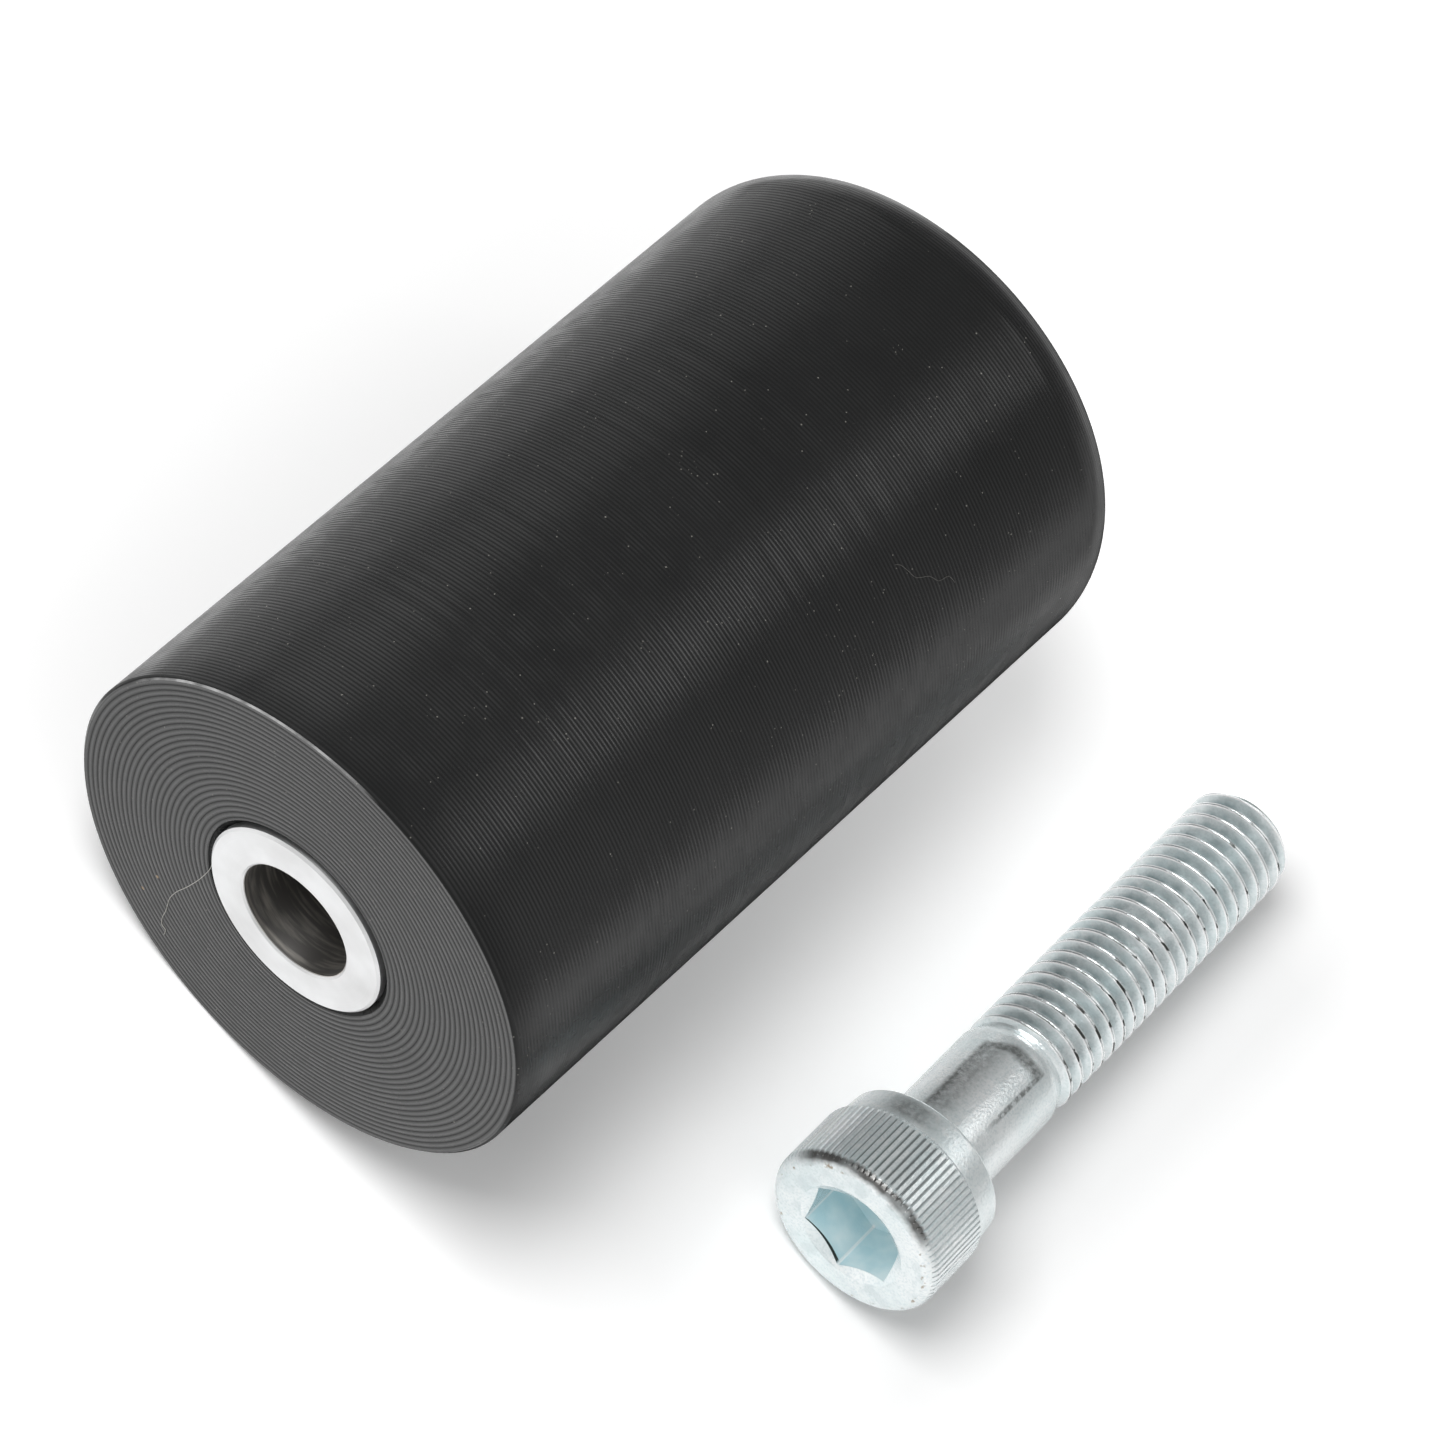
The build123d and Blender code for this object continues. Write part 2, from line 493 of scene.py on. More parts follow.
def hairTube(corners, radius, outward, offset):
    path = smoothPath(corners, puck["hairSteps"])
    sides = puck["hairSides"]
    points = []
    for index, place in enumerate(path):
        along = (path[min(index + 1, len(path) - 1)] - path[max(index - 1, 0)]).normalized()
        up = outward(place)
        across = along.cross(up).normalized()
        taper = puck["hairTaper"] if index in (0, len(path) - 1) else 1.0
        for side in range(sides):
            angle = full * side / sides
            points.append(place + (across * math.cos(angle) + up * math.sin(angle)) * radius * taper)
    faces = [tuple(offset + number for number in face) for face in gridFaces(len(path), sides, True)]
    last = len(points) - sides
    faces.append(tuple(offset + side for side in range(sides)))
    faces.append(tuple(offset + last + side for side in reversed(range(sides))))
    return points, faces


def hairs(offset):
    size = puck["hairRadius"] * mm
    lift = size * puck["hairLift"]
    corners = [Vector((x * mm, -lift, z * mm)) for x, z in puck["endHair"]]
    points, faces = hairTube(corners, size, lambda place: Vector((0, -1, 0)), offset)
    corners = []
    for turn, along in puck["sideHair"]:
        corners.append(aroundY(puckHigh[0] + lift, math.radians(90 - turn), along * mm))
    morePoints, moreFaces = hairTube(
        corners, size, lambda place: Vector((place.x, 0, place.z)).normalized(), offset + len(points))
    return points + morePoints, faces + moreFaces


def makePuck():
    rows = puckRows()
    segments = puck["segments"]
    points = []
    for radius, along in rows:
        for segment in range(segments):
            points.append(aroundY(radius * mm, full * segment / segments, along * mm))
    faces = gridFaces(len(rows), segments, True)
    hairPoints, hairFaces = hairs(len(points))
    piece = finishMesh(
        "puck_body", points + hairPoints, faces + hairFaces, puck["sharpAngle"], plasticMaterial())
    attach(piece, "root")
    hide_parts("slider_puck")


makePuck()
print("puck made")


# sleeve: machined aluminium bush

sleeve = {
    "radius": 8.5,
    "chamfer": 0.22,
    "boreChamfer": 0.2,
    "flange": 3.0,
    "segments": 192,
    "colour": (0.79, 0.795, 0.80, 1),
    "stainColour": (0.66, 0.66, 0.66, 1),
    # painted shade: the bore is coloured darker
    "boreShadeColour": (0.33, 0.32, 0.31, 1),
    "streakColour": (0.78, 0.75, 0.70, 1),
    "roughness": (0.36, 0.48),
    "marks": (9000, 2),         # scale and detail of the turning marks
    "markRange": (0.2, 0.8),
    "markDepth": 0.006,
    "markStrength": 0.6,
    "stain": (220, 3, 0.35, 0.75),
    "streaks": (2200, 3),       # in the bore
    "streakStretch": (0.12, 1, 0.12),
    "streakRange": (0.45, 0.72),
    "boreMargin": 0.05,
    "sharpAngle": 20,
}


def sleeveMaterial():
    shader = Shader("sleeve_metal")
    surface = shader.surface
    surface.inputs["Metallic"].default_value = 1.0
    across, along, upward = shader.split(shader.place)
    outward = shader.length(upward, across)
    marks = shader.noise(*sleeve["marks"], shader.join(outward, along))
    bright = shader.blend(shader.pattern(*sleeve["stain"]), sleeve["colour"], sleeve["stainColour"])
    streaks = shader.noise(*sleeve["streaks"], shader.stretched(sleeve["streakStretch"]))
    streaks = shader.ramp(streaks, *sleeve["streakRange"])
    # inside the bore the colour is darker as painted shade, with lighter streaks
    dark = shader.blend(streaks, sleeve["boreShadeColour"], sleeve["streakColour"])
    inside = shader.under(outward, (mounts["sleeve_bore"]["dims"]["r_mm"] + sleeve["boreMargin"]) * mm)
    shader.link(shader.blend(inside, bright, dark), surface.inputs["Base Color"])
    rough = shader.ramp(marks, *sleeve["markRange"], *sleeve["roughness"])
    shader.link(rough, surface.inputs["Roughness"])
    turned = shader.bump(marks, sleeve["markDepth"] * mm, sleeve["markStrength"])
    shader.link(turned, surface.inputs["Normal"])
    return shader.material


def makeSleeve():
    bore = mounts["sleeve_bore"]["dims"]["r_mm"]
    near = sleeveLow[1] / mm
    far = sleeveHigh[1] / mm
    flangeRadius = sleeveHigh[0] / mm
    outer = sleeve["radius"]
    edge = sleeve["chamfer"]
    rows = [
        (bore, near + sleeve["boreChamfer"]),
        (bore + sleeve["boreChamfer"], near),
        (outer - edge, near),
        (outer, near + edge),
        (outer, far - sleeve["flange"]),
        (flangeRadius, far - sleeve["flange"]),
        (flangeRadius, far - edge),
        (flangeRadius - edge, far),
        (bore + sleeve["boreChamfer"], far),
        (bore, far - sleeve["boreChamfer"]),
        (bore, near + sleeve["boreChamfer"]),
    ]
    segments = sleeve["segments"]
    points = []
    for radius, along in rows:
        for segment in range(segments):
            points.append(aroundY(radius * mm, full * segment / segments, along * mm))
    faces = gridFaces(len(rows), segments, True)
    piece = finishMesh("sleeve_bush", points, faces, sleeve["sharpAngle"], sleeveMaterial())
    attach(piece, "root")
    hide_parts("mounting_sleeve")


makeSleeve()
print("sleeve made")


# cap screw: knurled head with a hexagon socket, plain shank, coarse thread

screw = {
    "threadMiddle": 38.585,     # from the face of the head to the place of the thread's mount
    "headRadius": 7.898,
    "headHeight": 9.65,
    "frontRound": 1.1,
    "frontSteps": 14,
    "rearRound": 0.35,
    "rearSteps": 6,
    "bandLength": 3.05,
    "bandDepth": 0.4,
    "bandTaper": 0.15,
    "knurlCount": 86,
    "knurlDepth": 0.24,
    "knurlMarks": (     # shares of the pitch and of the depth
        (-0.27, 0), (0.27, 0), (0.36, 0.5), (0.45, 1), (0.55, 1), (0.64, 0.5),
    ),
    "socketFlats": 8.1,
    "socketDepth": 5.0,
    "socketBottom": 1.3,
    "mouthRadius": 4.95,
    "mouthAngle": 60.0,
    "socketTurn": 13.2,
    "neckFillet": 0.4,
    "shankRadius": 4.9,
    "shankLength": 11.4,
    "runLength": 1.0,
    "neckRadius": 4.5,
    "pitch": 1.5,
    "crestRadius": 4.86,
    "rootRadius": 4.04,
    "crestDip": 0.05,           # rolled threads have a fine seam along the crest
    "seamHalf": 0.04,           # shares of the pitch: half the seam, half the crest, the flank
    "crestHalf": 0.11,
    "flankStart": 0.1,
    "flankWidth": 0.29,
    "entryDelay": 0.2,
    "entrySlope": 0.8,
    "riseLength": 1.6,
    "leastRadius": 1.0,
    "threadMarks": (0.0, 0.05, 0.1, 0.24, 0.39, 0.5, 0.61, 0.76, 0.9, 0.95),  # shares of the pitch
    "tipChamfer": 1.0,
    "tipRadius": 4.1,
    "length": 55.45,
    "segments": 144,
    "sharpAngle": 24,
    "headMetallic": 0.58,
    "threadMetallic": 0.70,
    "colour": (0.88, 0.915, 0.92, 1),
    "tealColour": (0.76, 0.85, 0.86, 1),
    "rootColour": (0.60, 0.69, 0.70, 1),
    # painted shade low in the thread
    "rootShadeColour": (0.44, 0.51, 0.52, 1),
    # painted shade in the seam along a crest
    "seamShadeColour": (0.30, 0.33, 0.33, 1),
    # painted shade in the knurl's notches
    "notchShadeColour": (0.27, 0.29, 0.29, 1),
    "lineColour": (0.085, 0.08, 0.075, 1),
    "bowColour": (0.13, 0.135, 0.13, 1),
    "socketColour": (0.66, 0.85, 0.89, 1),
    "socketPaleColour": (0.92, 0.99, 1.0, 1),
    # dark specks on the thread, and the painted shadow along an edge of the socket
    "speckAndShadowColour": (0.05, 0.055, 0.05, 1),
    "rustColour": (0.30, 0.22, 0.14, 1),
    "roughness": (700, 3, 0.3, 0.7, 0.17, 0.27),    # a pattern, with scales per metre
    "grain": (3600, 4),
    "grainRoughness": 0.65,
    "grainDepth": 0.04,
    "wave": (1400, 2),
    "waveDepth": 0.016,
    "waveStrength": 0.5,
    "threadBlend": (22.0, 23.5),        # from the face of the head, as every length along the screw
    "tint": (160, 3, 0.35, 0.7),        # patterns of the plating
    "glints": (1300, 3, 0.5, 0.72, 0.0, 0.5),
    "speckle": (4600, 3, 0.48, 0.66, 0.0, 0.5),
    "rootShadePatches": (900, 3, 0.35, 0.65, 0.25, 1.0),
    "blotches": (650, 4, 0.48, 0.62, 0.0, 0.55),
    "faceLimit": 0.05,
    "notchDepths": (0.09, 0.21),        # below the crests of the knurl
    "notchRadii": (7.3, 7.5),
    "notchStart": (0.9, 1.3),
    "notchEnd": (0.05, -0.1),           # from the end of the knurl
    "notchShadeTurns": ((-1.6, -1.0, 1.0, 0.1), (-2.9, -2.5, 0.4, 1.0)),     # radians, as every turn below
    "rootShadeMargin": 0.15,
    "rootShadeTurns": (-1.9, -1.1, 1.0, 0.45),
    "socketCloud": (420, 2, 0.35, 0.65),
    "socketMargin": 0.02,
    "cornerHighlightWidth": (0.032, 0.018),      # shares of a sixth of a turn
    "cornerHighlightMargin": 0.2,
    "socketShadowTurns": (73.5, 76, 130, 138),   # degrees where the painted shadow in the socket fades in and out
    "socketShadowThin": 133,                     # degrees where it is thinnest
    "socketShadowWidth": (0.10, 0.34),
    "lipHighlightMiddle": 0.085,                 # shares of the pitch, as the next two and markReach: the painted highlight on the lips and the painted shade in the seam
    "lipHighlightWidth": (0.045, 0.025),
    "seamShadeWidth": (0.05, 0.02),
    "seamShadeStrength": 0.5,
    "marks": (2100, 3),                 # the dark marks on the thread
    "markGirth": 1.6,
    "markLength": (24, 52),
    "markRarity": (0.48, 0.60),
    "markEdge": (0.0, 0.05),
    "markReach": (0.11, 0.075),
    "markTurns": (-2.4, -1.5, 0.25, 1.0),
    "bowTurns": (-2.46, -1.29),
    "bowAlong": (10.6, 21.1),
    "bowCorner": (-2.30, -1.90),        # where its outer left corner is rounded off
    "bowCornerDepth": 1.0,
    "barTurns": ((-1.80, -2.10, 0.0, 1.0), (-2.20, -2.34, 0.55, 0.9)),
    "barFade": 0.1,
    "barStart": 1.4,
    "bowTop": (-1.6, -1.0),             # from its end
    "bowTopFade": 0.16,
    "bowTopStrength": 0.85,
    "bowTopEnd": (0.07, -0.01),
    "bowEdge": 0.5,
    "bowLine": (0.06, 0.03, 0.0, 0.8),
    "bowLineStart": (13.0, 15.0),
    "bowLinePatches": (1900, 2, 0.40, 0.50, 0.3, 1.0),
    "bowPatches": (2400, 3, 0.35, 0.60, 0.6, 1.0),
    "streakTurns": ((-2.5, -2.3, 0.0, 0.6), (-1.75, -2.05, 0.0, 1.0)),
    "streakAlong": ((7.0, 7.6), (9.4, 8.9)),
    "lineTurns": (-3.0, -0.95),
    "lineFade": (0.3, 0.2),
    "lineAlong": 0.48,
    "lineWidth": (0.50, 0.20),
    "lineStrength": 0.92,
    "lineRadius": 6.9,
    "lineEdge": (900, 2, 0.3, 0.7),
    "lineRagged": 0.08,
    "linePatches": (380, 2, 0.36, 0.50, 0.55, 1.0),
    "rustRadius": 7.1,
    "rustWidth": (0.3, 0.1),
    "rustDepth": 0.2,
    "rustPatches": (1500, 3, 0.60, 0.68, 0.0, 0.8),
}

screwAxis = Vector(mounts["screw_thread"]["axis"]).normalized()
screwHead = Vector(mounts["screw_thread"]["pos_m"]) - screwAxis * screw["threadMiddle"] * mm
screwAcross = screwAxis.cross(Vector((0, 0, 1))).normalized()
screwDown = screwAxis.cross(screwAcross)
threadStart = screw["headHeight"] + screw["shankLength"] + screw["runLength"]


def onScrew(radius, angle, along):
    outward = screwAcross * math.cos(angle) + screwDown * math.sin(angle)
    return screwHead + (screwAxis * along + outward * radius) * mm


def screwPlace(shader):
    # along the screw from the face of its head, out from its axis, and round it
    fromHead = shader.vector("SUBTRACT", shader.place, tuple(screwHead))
    along = shader.vector("DOT_PRODUCT", fromHead, tuple(screwAxis), "Value")
    sideways = shader.vector("DOT_PRODUCT", fromHead, tuple(screwAcross), "Value")
    downward = shader.vector("DOT_PRODUCT", fromHead, tuple(screwDown), "Value")
    across = shader.vector("CROSS_PRODUCT", fromHead, tuple(screwAxis))
    outward = shader.vector("LENGTH", across, output="Value")
    return along, outward, shader.maths("ARCTAN2", downward, sideways)


def zincColour(shader, along, outward, turn, onThread):
    base = shader.blend(shader.pattern(*screw["tint"]), screw["colour"], screw["tealColour"])
    base = shader.blend(shader.pattern(*screw["glints"]), base, white)
    base = shader.blend(shader.pattern(*screw["speckle"]), base, screw["rootColour"])

    # painted shade in the knurl's notches, strongest on the upper side towards -X
    knurlEnd = screw["headHeight"] - screw["bandLength"]
    notchShade = shader.product(
        shader.between(outward, [screw["headRadius"] - depth for depth in screw["notchDepths"]]),
        shader.between(outward, screw["notchRadii"]),
        shader.between(along, screw["notchStart"]),
        shader.ramp(turn, *screw["notchShadeTurns"][0]),
        shader.ramp(turn, *screw["notchShadeTurns"][1]),
        shader.between(along, [knurlEnd + offset for offset in screw["notchEnd"]]))
    base = shader.blend(notchShade, base, screw["notchShadeColour"])

    # painted shade low in the thread, strongest on the upper side towards -X, and greyer plating in
    # blotches on the face of the head
    low = shader.between(outward, (screw["crestRadius"], screw["rootRadius"] + screw["rootShadeMargin"]))
    patches = shader.pattern(*screw["rootShadePatches"])
    low = shader.product(low, onThread, patches, shader.ramp(turn, *screw["rootShadeTurns"]))
    base = shader.blend(low, base, screw["rootShadeColour"])
    face = shader.product(
        shader.under(along, screw["faceLimit"] * mm),
        shader.pattern(*screw["blotches"]))
    return shader.blend(face, base, screw["rootColour"])


def socketColour(shader, base, along, outward, turn):
    # bluish flats with painted highlights along the corners and a painted shadow along one edge of the
    # hexagon
    slope = math.tan(math.radians(screw["mouthAngle"]))
    edge = shader.maths("DIVIDE", shader.maths("SUBTRACT", screw["mouthRadius"] * mm, outward), slope)
    behind = shader.maths("SUBTRACT", along, edge)
    inside = shader.product(
        shader.under(outward, (screw["mouthRadius"] - screw["socketMargin"]) * mm),
        shader.over(behind, screw["socketMargin"] * mm),
        shader.under(along, screw["headHeight"] * mm))
    cloud = shader.pattern(*screw["socketCloud"])
    base = shader.blend(inside, base, shader.blend(cloud, screw["socketColour"], screw["socketPaleColour"]))
    sixth = shader.maths("SUBTRACT", turn, math.radians(screw["socketTurn"]))
    corner = shader.maths("PINGPONG", shader.maths("DIVIDE", sixth, full / 6), 0.5)
    # painted highlights along the socket's corners
    bright = shader.product(
        shader.ramp(corner, *screw["cornerHighlightWidth"]),
        shader.over(outward, (screw["socketFlats"] / 2 + screw["cornerHighlightMargin"]) * mm),
        inside)
    base = shader.blend(bright, base, white)
    start, opened, closing, end = [math.radians(angle) for angle in screw["socketShadowTurns"]]
    thin = math.radians(screw["socketShadowThin"])
    width = shader.ramp(turn, thin, opened, *[size * mm for size in screw["socketShadowWidth"]])
    # a painted shadow along one edge of the hexagon
    gap = shader.product(
        shader.under(behind, width),
        shader.ramp(turn, start, opened),
        shader.ramp(turn, end, closing),
        inside)
    return shader.blend(gap, base, screw["speckAndShadowColour"])


def threadColour(shader, base, along, turn, onThread):
    # a crest has painted highlights along its two lips and painted shade in the seam between, and dark
    # marks sit in the seam near the shank
    turns = shader.maths("SUBTRACT", along, threadStart * mm)
    turns = shader.maths("DIVIDE", turns, screw["pitch"] * mm)
    turns = shader.maths("SUBTRACT", turns, shader.maths("DIVIDE", turn, full))
    away = shader.maths("PINGPONG", turns, 0.5)
    # painted highlights on the lips and painted shade in the seam between
    lipHighlight = shader.ramp(shader.offset(away, screw["lipHighlightMiddle"]), *screw["lipHighlightWidth"])
    base = shader.blend(shader.product(lipHighlight, onThread), base, white)
    seam = shader.product(shader.ramp(away, *screw["seamShadeWidth"]), onThread, screw["seamShadeStrength"])
    base = shader.blend(seam, base, screw["seamShadeColour"])
    around = shader.join(along, shader.maths("MULTIPLY", turn, screw["markGirth"] * mm))
    reach = shader.between(along, screw["markLength"], *screw["markRarity"])
    marks = shader.maths("SUBTRACT", shader.noise(*screw["marks"], around), reach)
    marks = shader.product(
        shader.ramp(marks, *screw["markEdge"]),
        shader.product(shader.ramp(away, *screw["markReach"]), onThread),
        shader.ramp(turn, *screw["markTurns"]))
    return shader.blend(marks, base, screw["speckAndShadowColour"])


def bowColour(shader, base, along, turn):
    # a dark bow on the shank and a dark streak on the band, where the photograph reflects something dark
    first, last = screw["bowTurns"]
    start, end = screw["bowAlong"]
    corner = shader.ramp(turn, *screw["bowCorner"], screw["bowCornerDepth"] * mm, 0.0)
    corner = shader.maths("ADD", along, corner)
    bar = shader.product(
        shader.ramp(turn, first, first + screw["barFade"]),
        shader.ramp(turn, *screw["barTurns"][0]),
        shader.ramp(turn, *screw["barTurns"][1]),
        shader.between(along, (start, start + screw["barStart"])))
    top = shader.product(
        shader.between(corner, [end + offset for offset in screw["bowTop"]]),
        shader.ramp(turn, first, first + screw["bowTopFade"], 0.0, screw["bowTopStrength"]),
        shader.ramp(turn, *[last + offset for offset in screw["bowTopEnd"]]))
    side = shader.product(
        shader.ramp(shader.offset(turn, last), *screw["bowLine"]),
        shader.pattern(*screw["bowLinePatches"]),
        shader.between(along, screw["bowLineStart"]))
    bow = shader.maths("MAXIMUM", shader.maths("MAXIMUM", bar, top), side)
    bow = shader.product(bow, shader.between(corner, (end, end - screw["bowEdge"])))
    streak = shader.product(
        shader.ramp(turn, *screw["streakTurns"][0]),
        shader.ramp(turn, *screw["streakTurns"][1]),
        shader.between(along, screw["streakAlong"][0]),
        shader.between(along, screw["streakAlong"][1]))
    bow = shader.maths("MAXIMUM", bow, streak)
    bow = shader.product(bow, shader.pattern(*screw["bowPatches"]))
    return shader.blend(bow, base, screw["bowColour"])


def edgeColour(shader, base, along, outward, turn):
    # a dark line where the head's face rounds into the knurl, along the top, and a little rust beside it
    first, last = screw["lineTurns"]
    fadeIn, fadeOut = screw["lineFade"]
    ragged = screw["lineRagged"] * mm
    line = shader.offset(along, screw["lineAlong"] * mm)
    line = shader.maths("ADD", line, shader.pattern(*screw["lineEdge"], -ragged, ragged))
    line = shader.product(
        shader.between(line, screw["lineWidth"], 0.0, screw["lineStrength"]),
        shader.over(outward, screw["lineRadius"] * mm),
        shader.ramp(turn, first, first + fadeIn),
        shader.ramp(turn, last, last - fadeOut),
        shader.pattern(*screw["linePatches"]))
    base = shader.blend(line, base, screw["lineColour"])
    rust = shader.product(
        shader.between(shader.offset(outward, screw["rustRadius"] * mm), screw["rustWidth"]),
        shader.under(along, screw["rustDepth"] * mm),
        shader.pattern(*screw["rustPatches"]))
    return shader.blend(rust, base, screw["rustColour"])


def steelMaterial():
    # bright zinc plate: satin and grainy
    shader = Shader("screw_steel")
    surface = shader.surface
    along, outward, turn = screwPlace(shader)
    onThread = shader.between(along, screw["threadBlend"])
    base = zincColour(shader, along, outward, turn, onThread)
    base = socketColour(shader, base, along, outward, turn)
    base = threadColour(shader, base, along, turn, onThread)
    base = bowColour(shader, base, along, turn)
    base = edgeColour(shader, base, along, outward, turn)
    shader.link(base, surface.inputs["Base Color"])
    metallic = shader.mixed(onThread, screw["headMetallic"], screw["threadMetallic"])
    shader.link(metallic, surface.inputs["Metallic"])
    shader.link(shader.pattern(*screw["roughness"]), surface.inputs["Roughness"])
    grain = shader.noise(*screw["grain"], roughness=screw["grainRoughness"])
    grain = shader.bump(grain, screw["grainDepth"] * mm)
    waves = shader.noise(*screw["wave"])
    waves = shader.bump(waves, screw["waveDepth"] * mm, screw["waveStrength"], grain)
    shader.link(waves, surface.inputs["Normal"])
    return shader.material


def knurlColumns():
    # the marks of every knurl pitch, and the socket's six corners
    pitch = full / screw["knurlCount"]
    columns = []
    for index in range(screw["knurlCount"]):
        crest = math.pi / 2 + index * pitch
        for turn, cut in screw["knurlMarks"]:
            columns.append(((crest + turn * pitch) % full, cut))
    for corner in range(6):
        angle = (math.radians(screw["socketTurn"]) + corner * full / 6) % full
        columns.append((angle, None))
    columns.sort(key=lambda column: column[0])
    filled = []
    for index, (angle, cut) in enumerate(columns):
        if cut is None:
            before = columns[index - 1]
            after = columns[(index + 1) % len(columns)]
            gap = (after[0] - before[0]) % full or 1
            share = ((angle - before[0]) % full) / gap
            cut = (before[1] or 0) * (1 - share) + (after[1] or 0) * share
        filled.append((angle, cut))
    return filled


def socketRadius(angle):
    part = (angle - math.radians(screw["socketTurn"])) % (full / 6) - full / 12
    return screw["socketFlats"] / 2 / math.cos(part)


def headRows():
    radius = screw["headRadius"]
    height = screw["headHeight"]
    knurlEnd = height - screw["bandLength"]
    depth = screw["knurlDepth"]
    band = radius - screw["bandDepth"]
    rear = band - screw["bandTaper"]
    front = screw["frontRound"]
    back = screw["rearRound"]
    fillet = screw["neckFillet"]
    rows = arcRows((radius - front, front), front, -90, 0, screw["frontSteps"])
    rows += [(radius, knurlEnd / 2), (radius, knurlEnd)]
    split = len(rows)
    rows += [(radius - depth, knurlEnd + depth), (band, knurlEnd + screw["bandDepth"])]
    rows += arcRows((rear - back, height - back), back, 0, 90, screw["rearSteps"])
    corner = (screw["shankRadius"] + fillet, height + fillet)
    rows += arcRows(corner, fillet, 270, 180, screw["rearSteps"])
    shankEnd = height + screw["shankLength"]
    rows += [(screw["shankRadius"], shankEnd), (screw["neckRadius"], shankEnd + screw["runLength"])]
    return rows, split


def makeHead():
    columns = knurlColumns()
    rows, split = headRows()
    mouth = screw["mouthRadius"]
    slope = math.tan(math.radians(screw["mouthAngle"]))
    depth = screw["socketDepth"]
    rings = [
        [(0.0, depth + screw["socketBottom"])] * len(columns),
        [(screw["socketFlats"] / 2, depth)] * len(columns),
        [(socketRadius(angle), depth) for angle, cut in columns],
        [(socketRadius(angle), (mouth - socketRadius(angle)) / slope) for angle, cut in columns],
        [(mouth, 0.0)] * len(columns),
    ]
    for index, (radius, along) in enumerate(rows):
        ring = []
        for angle, cut in columns:
            limit = screw["headRadius"] - screw["knurlDepth"] * cut if index < split else radius
            ring.append((min(radius, limit), along))
        rings.append(ring)
    points = []
    for ring in rings:
        for (radius, along), (angle, cut) in zip(ring, columns):
            points.append(onScrew(radius, angle, along))
    return points, gridFaces(len(rings), len(columns), True)


def threadRadius(phase):
    # 0 at the middle of a crest, 0.5 at the middle of a root
    distance = abs((phase + 0.5) % 1 - 0.5)
    if distance < screw["seamHalf"]:
        return screw["crestRadius"] - screw["crestDip"]
    if distance < screw["crestHalf"]:
        return screw["crestRadius"]
    share = min(1.0, (distance - screw["flankStart"]) / screw["flankWidth"])
    return screw["crestRadius"] + (screw["rootRadius"] - screw["crestRadius"]) * share


def threadLimit(along):
    # the run-out at the shank and the chamfer at the tip
    run = max(0.0, along - threadStart - screw["entryDelay"])
    entry = screw["neckRadius"] + run * screw["entrySlope"]
    share = (screw["length"] - along) / screw["tipChamfer"]
    chamfer = screw["tipRadius"] + share * (screw["crestRadius"] - screw["tipRadius"])
    return min(entry, chamfer)


def threadFloor(along):
    # the groove comes out of the neck over its first turn
    rise = min(1.0, max(0.0, 1 - (along - threadStart) / screw["riseLength"]))
    return screw["rootRadius"] + (screw["neckRadius"] - screw["rootRadius"]) * rise


def threadStrip():
    pitch = screw["pitch"]
    turns = int((screw["length"] - threadStart) / pitch) + 3
    rows = [turn + mark for turn in range(-1, turns) for mark in screw["threadMarks"]]
    segments = screw["segments"]
    points = []
    for row in rows:
        for segment in range(segments + 1):
            share = segment / segments
            along = threadStart + pitch * (row + share)
            radius = max(threadRadius(row), threadFloor(along))
            radius = max(min(radius, threadLimit(along)), screw["leastRadius"])
            angle = full * share
            points.append((radius * math.cos(angle), along, radius * math.sin(angle)))
    return points, gridFaces(len(rows), segments + 1, False)


def makeThread():
    # a helical strip, sewn along its edge and cut flat at the neck and the tip
    points, faces = threadStrip()
    mesh = bpy.data.meshes.new("strip")
    mesh.from_pydata(points, [], faces)
    work = bmesh.new()
    work.from_mesh(mesh)
    bmesh.ops.remove_doubles(work, verts=work.verts, dist=1e-4)
    for along, outward in ((threadStart, -1), (screw["length"], 1)):
        everything = work.verts[:] + work.edges[:] + work.faces[:]
        bmesh.ops.bisect_plane(
            work, geom=everything, dist=1e-5, clear_outer=True,
            plane_co=(0, along, 0), plane_no=(0, outward, 0))
    rim = [edge for edge in work.edges if edge.is_boundary and edge.verts[0].co.y > screw["length"] - 0.01]
    centre = work.verts.new((0, screw["length"], 0))
    for edge in rim:
        work.faces.new((edge.verts[0], edge.verts[1], centre))
    work.verts.index_update()
    points = []
    for vertex in work.verts:
        x, along, z = vertex.co
        points.append(onScrew(math.hypot(x, z), math.atan2(z, x), along))
    faces = [tuple(vertex.index for vertex in face.verts) for face in work.faces]
    work.free()
    bpy.data.meshes.remove(mesh)
    return points, faces


def makeScrew():
    material = steelMaterial()
    headPoints, headFaces = makeHead()
    threadPoints, threadFaces = makeThread()
    offset = len(headPoints)
    faces = headFaces + [tuple(index + offset for index in face) for face in threadFaces]
    piece = finishMesh("screw_body", headPoints + threadPoints, faces, screw["sharpAngle"], material)
    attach(piece, "root")
    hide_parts("cap_screw")


makeScrew()
print("screw made")


# table and light

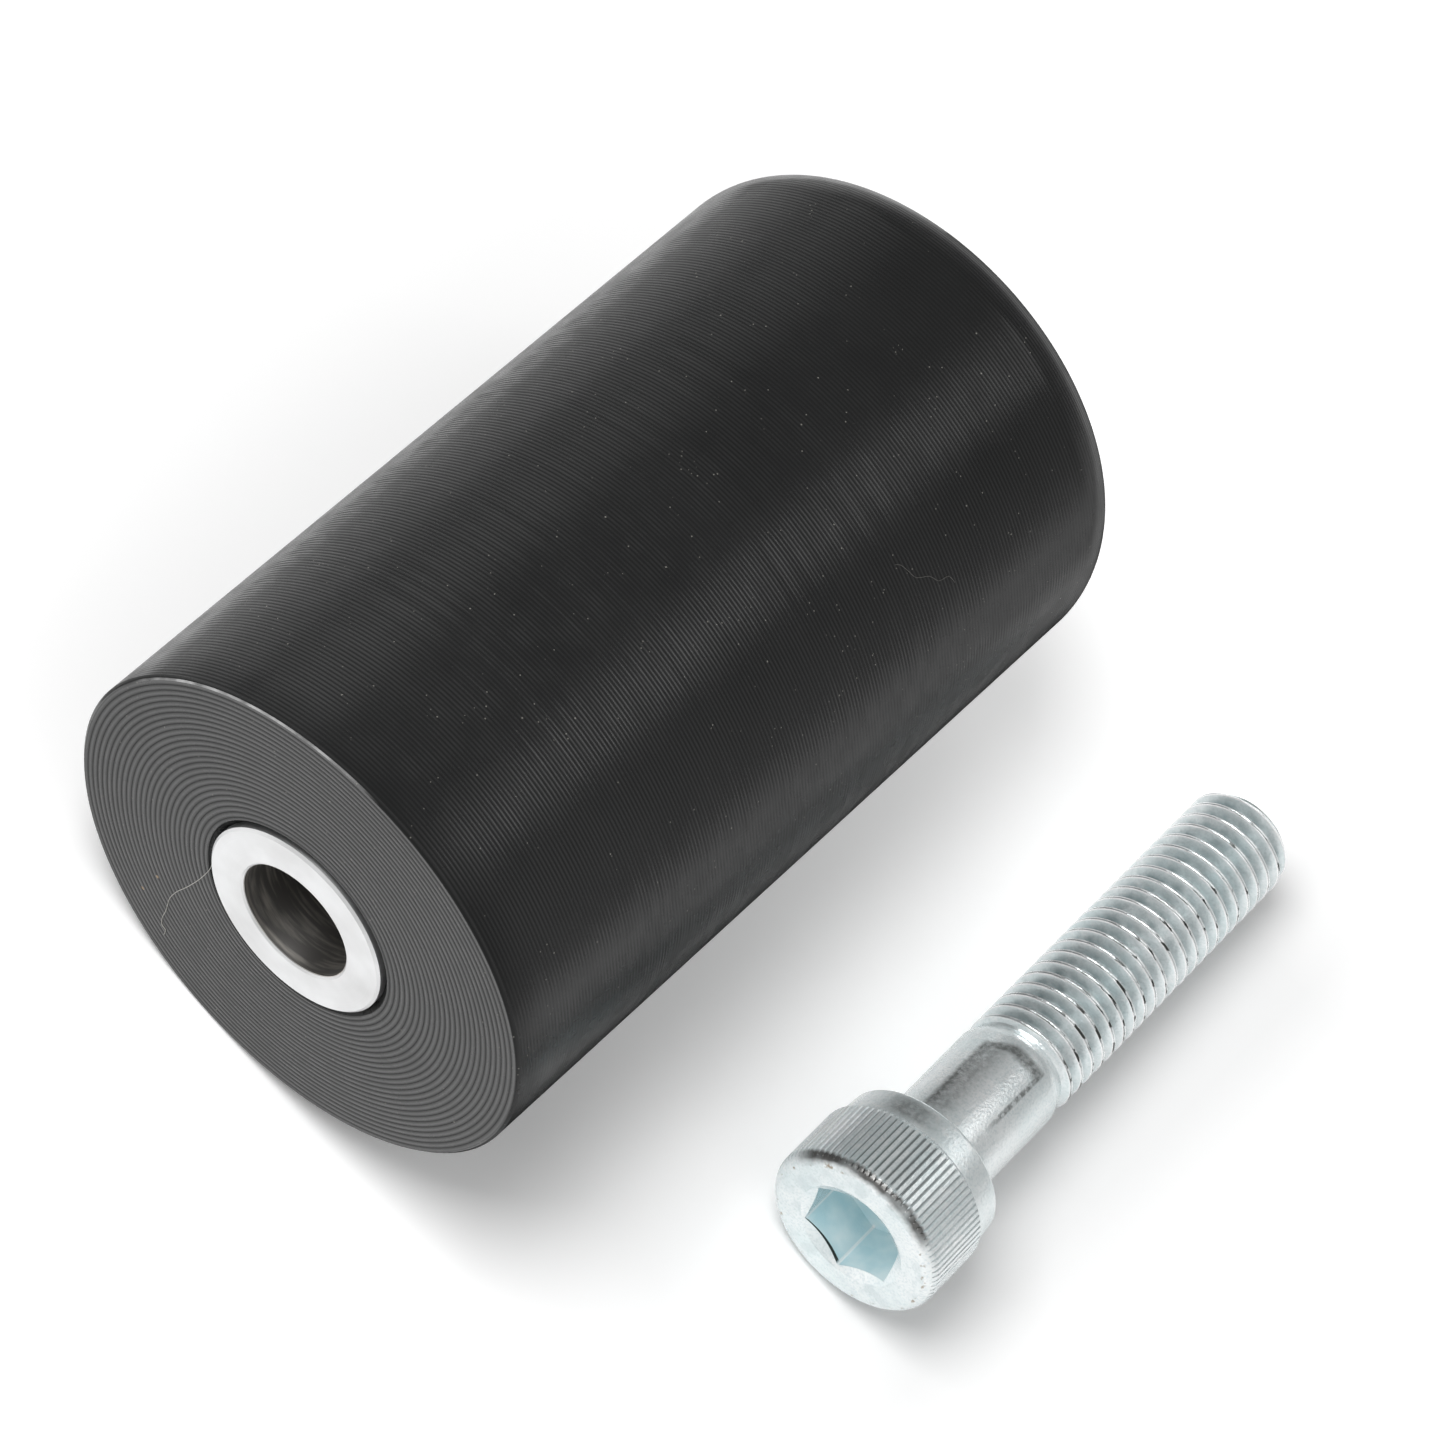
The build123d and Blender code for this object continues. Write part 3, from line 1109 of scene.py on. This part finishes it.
studio = {
    "floorSize": 3000.0,
    "floorColour": (0.92, 0.92, 0.92, 1),
    "seenColour": (1.12, 1.12, 1.12, 1),    # in the picture and in reflections
    "leftShadeColour": (1.06, 1.06, 1.06, 1),    # there, left of the puck: painted shade that dims the puck's reflection of the table
    "screwShadowColour": (0.95, 0.95, 0.95, 1),   # there, just beside the screw: a painted shadow
    "farGlow": 0.26,        # added there to the puck's shadow towards its outer end
    "leftAcross": (-10, -30),                   # places on the table, by x or y
    "screwAcross": ((42, 52), (69, 60)),
    "screwAlong": ((10, 26), (92, 78)),
    "glowAcross": ((52, 42), (0, 12)),
    "glowAlong": (14, 72),
    "roughness": 0.9,
    "shine": 0.1,
    "frontLight": 0.60,     # sky strength towards -Y, where the camera is
    "backLight": 0.17,
    "rightLight": 0.22,     # added towards +X
    "frontEdge": (-0.25, 0.15),     # where the sky changes, as a share of a direction
    "rightEdge": (0.4, 0.75),
}

lamps = {
    "key": {"place": (-300, -190, 700), "aim": (20, 35, -22), "size": (400, 400), "power": 4.6},
    "over": {"place": (200, 370, 600), "aim": (30, 40, 0), "size": (200, 200), "power": 0.09},
    "screw": {"place": (235, 630, 600), "aim": (47, 50, -15), "size": (350, 180), "power": 0.46},
    "left": {"place": (-600, 385, 264), "aim": (0, 37, 0), "size": (320, 420), "power": 0.26},
}


def makeFloor():
    half = studio["floorSize"] / 2 * mm
    height = puckLow[2]
    shader = Shader("table")
    rays = shader.node("ShaderNodeLightPath").outputs
    seen = shader.maths("MAXIMUM", rays["Is Camera Ray"], rays["Is Glossy Ray"])
    seen = shader.maths("MAXIMUM", seen, rays["Is Transmission Ray"])
    across, along = shader.split(shader.place)[:2]
    # painted shade: the table is dimmer left of the puck and carries a painted shadow beside the screw
    leftShade = shader.between(across, studio["leftAcross"])
    colour = shader.blend(leftShade, studio["seenColour"], studio["leftShadeColour"])
    beside = shader.product(
        shader.between(across, studio["screwAcross"][0]),
        shader.between(across, studio["screwAcross"][1]),
        shader.between(along, studio["screwAlong"][0]),
        shader.between(along, studio["screwAlong"][1]))
    colour = shader.blend(beside, colour, studio["screwShadowColour"])
    colour = shader.blend(seen, studio["floorColour"], colour)
    shader.link(colour, shader.surface.inputs["Base Color"])
    glow = shader.product(
        shader.between(along, studio["glowAlong"], 0, studio["farGlow"]),
        shader.between(across, studio["glowAcross"][0]),
        shader.between(across, studio["glowAcross"][1]),
        seen)
    shader.link(glow, shader.surface.inputs["Emission Strength"])
    shader.surface.inputs["Emission Color"].default_value = white
    shader.surface.inputs["Roughness"].default_value = studio["roughness"]
    shader.surface.inputs["Specular IOR Level"].default_value = studio["shine"]
    mesh = bpy.data.meshes.new("table")
    corners = [(-half, -half, height), (half, -half, height), (half, half, height), (-half, half, height)]
    mesh.from_pydata(corners, [], [(0, 1, 2, 3)])
    mesh.materials.append(shader.material)
    floor = bpy.data.objects.new("table", mesh)
    bpy.context.collection.objects.link(floor)


def makeLamp(name, values):
    data = bpy.data.lights.new(name, "AREA")
    data.shape = "RECTANGLE"
    data.size = values["size"][0] * mm
    data.size_y = values["size"][1] * mm
    data.energy = values["power"]
    lamp = bpy.data.objects.new(name, data)
    lamp.location = Vector(values["place"]) * mm
    aim = Vector(values["aim"]) * mm - lamp.location
    lamp.rotation_euler = aim.to_track_quat("-Z", "Y").to_euler()
    bpy.context.collection.objects.link(lamp)


def makeWorld():
    world = bpy.data.worlds.new("studio")
    bpy.context.scene.world = world
    world.use_nodes = True
    tree = world.node_tree
    direction = tree.nodes.new("ShaderNodeTexCoord").outputs["Generated"]
    parts = tree.nodes.new("ShaderNodeSeparateXYZ")
    tree.links.new(direction, parts.inputs[0])
    front = tree.nodes.new("ShaderNodeMapRange")
    front.interpolation_type = "SMOOTHSTEP"
    right = tree.nodes.new("ShaderNodeMapRange")
    right.interpolation_type = "SMOOTHSTEP"
    total = tree.nodes.new("ShaderNodeMath")
    total.operation = "ADD"
    settings = (
        (front, "Y", (*studio["frontEdge"], studio["frontLight"], studio["backLight"])),
        (right, "X", (*studio["rightEdge"], 0.0, studio["rightLight"])),
    )
    for index, (ramp, axis, values) in enumerate(settings):
        tree.links.new(parts.outputs[axis], ramp.inputs["Value"])
        for name, value in zip(("From Min", "From Max", "To Min", "To Max"), values):
            ramp.inputs[name].default_value = value
        tree.links.new(ramp.outputs["Result"], total.inputs[index])
    background = tree.nodes["Background"]
    background.inputs["Color"].default_value = white
    tree.links.new(total.outputs[0], background.inputs["Strength"])


makeFloor()
makeWorld()
for lampName, lampValues in lamps.items():
    makeLamp(lampName, lampValues)
bpy.context.scene.view_settings.view_transform = "Standard"
print("table and light made")
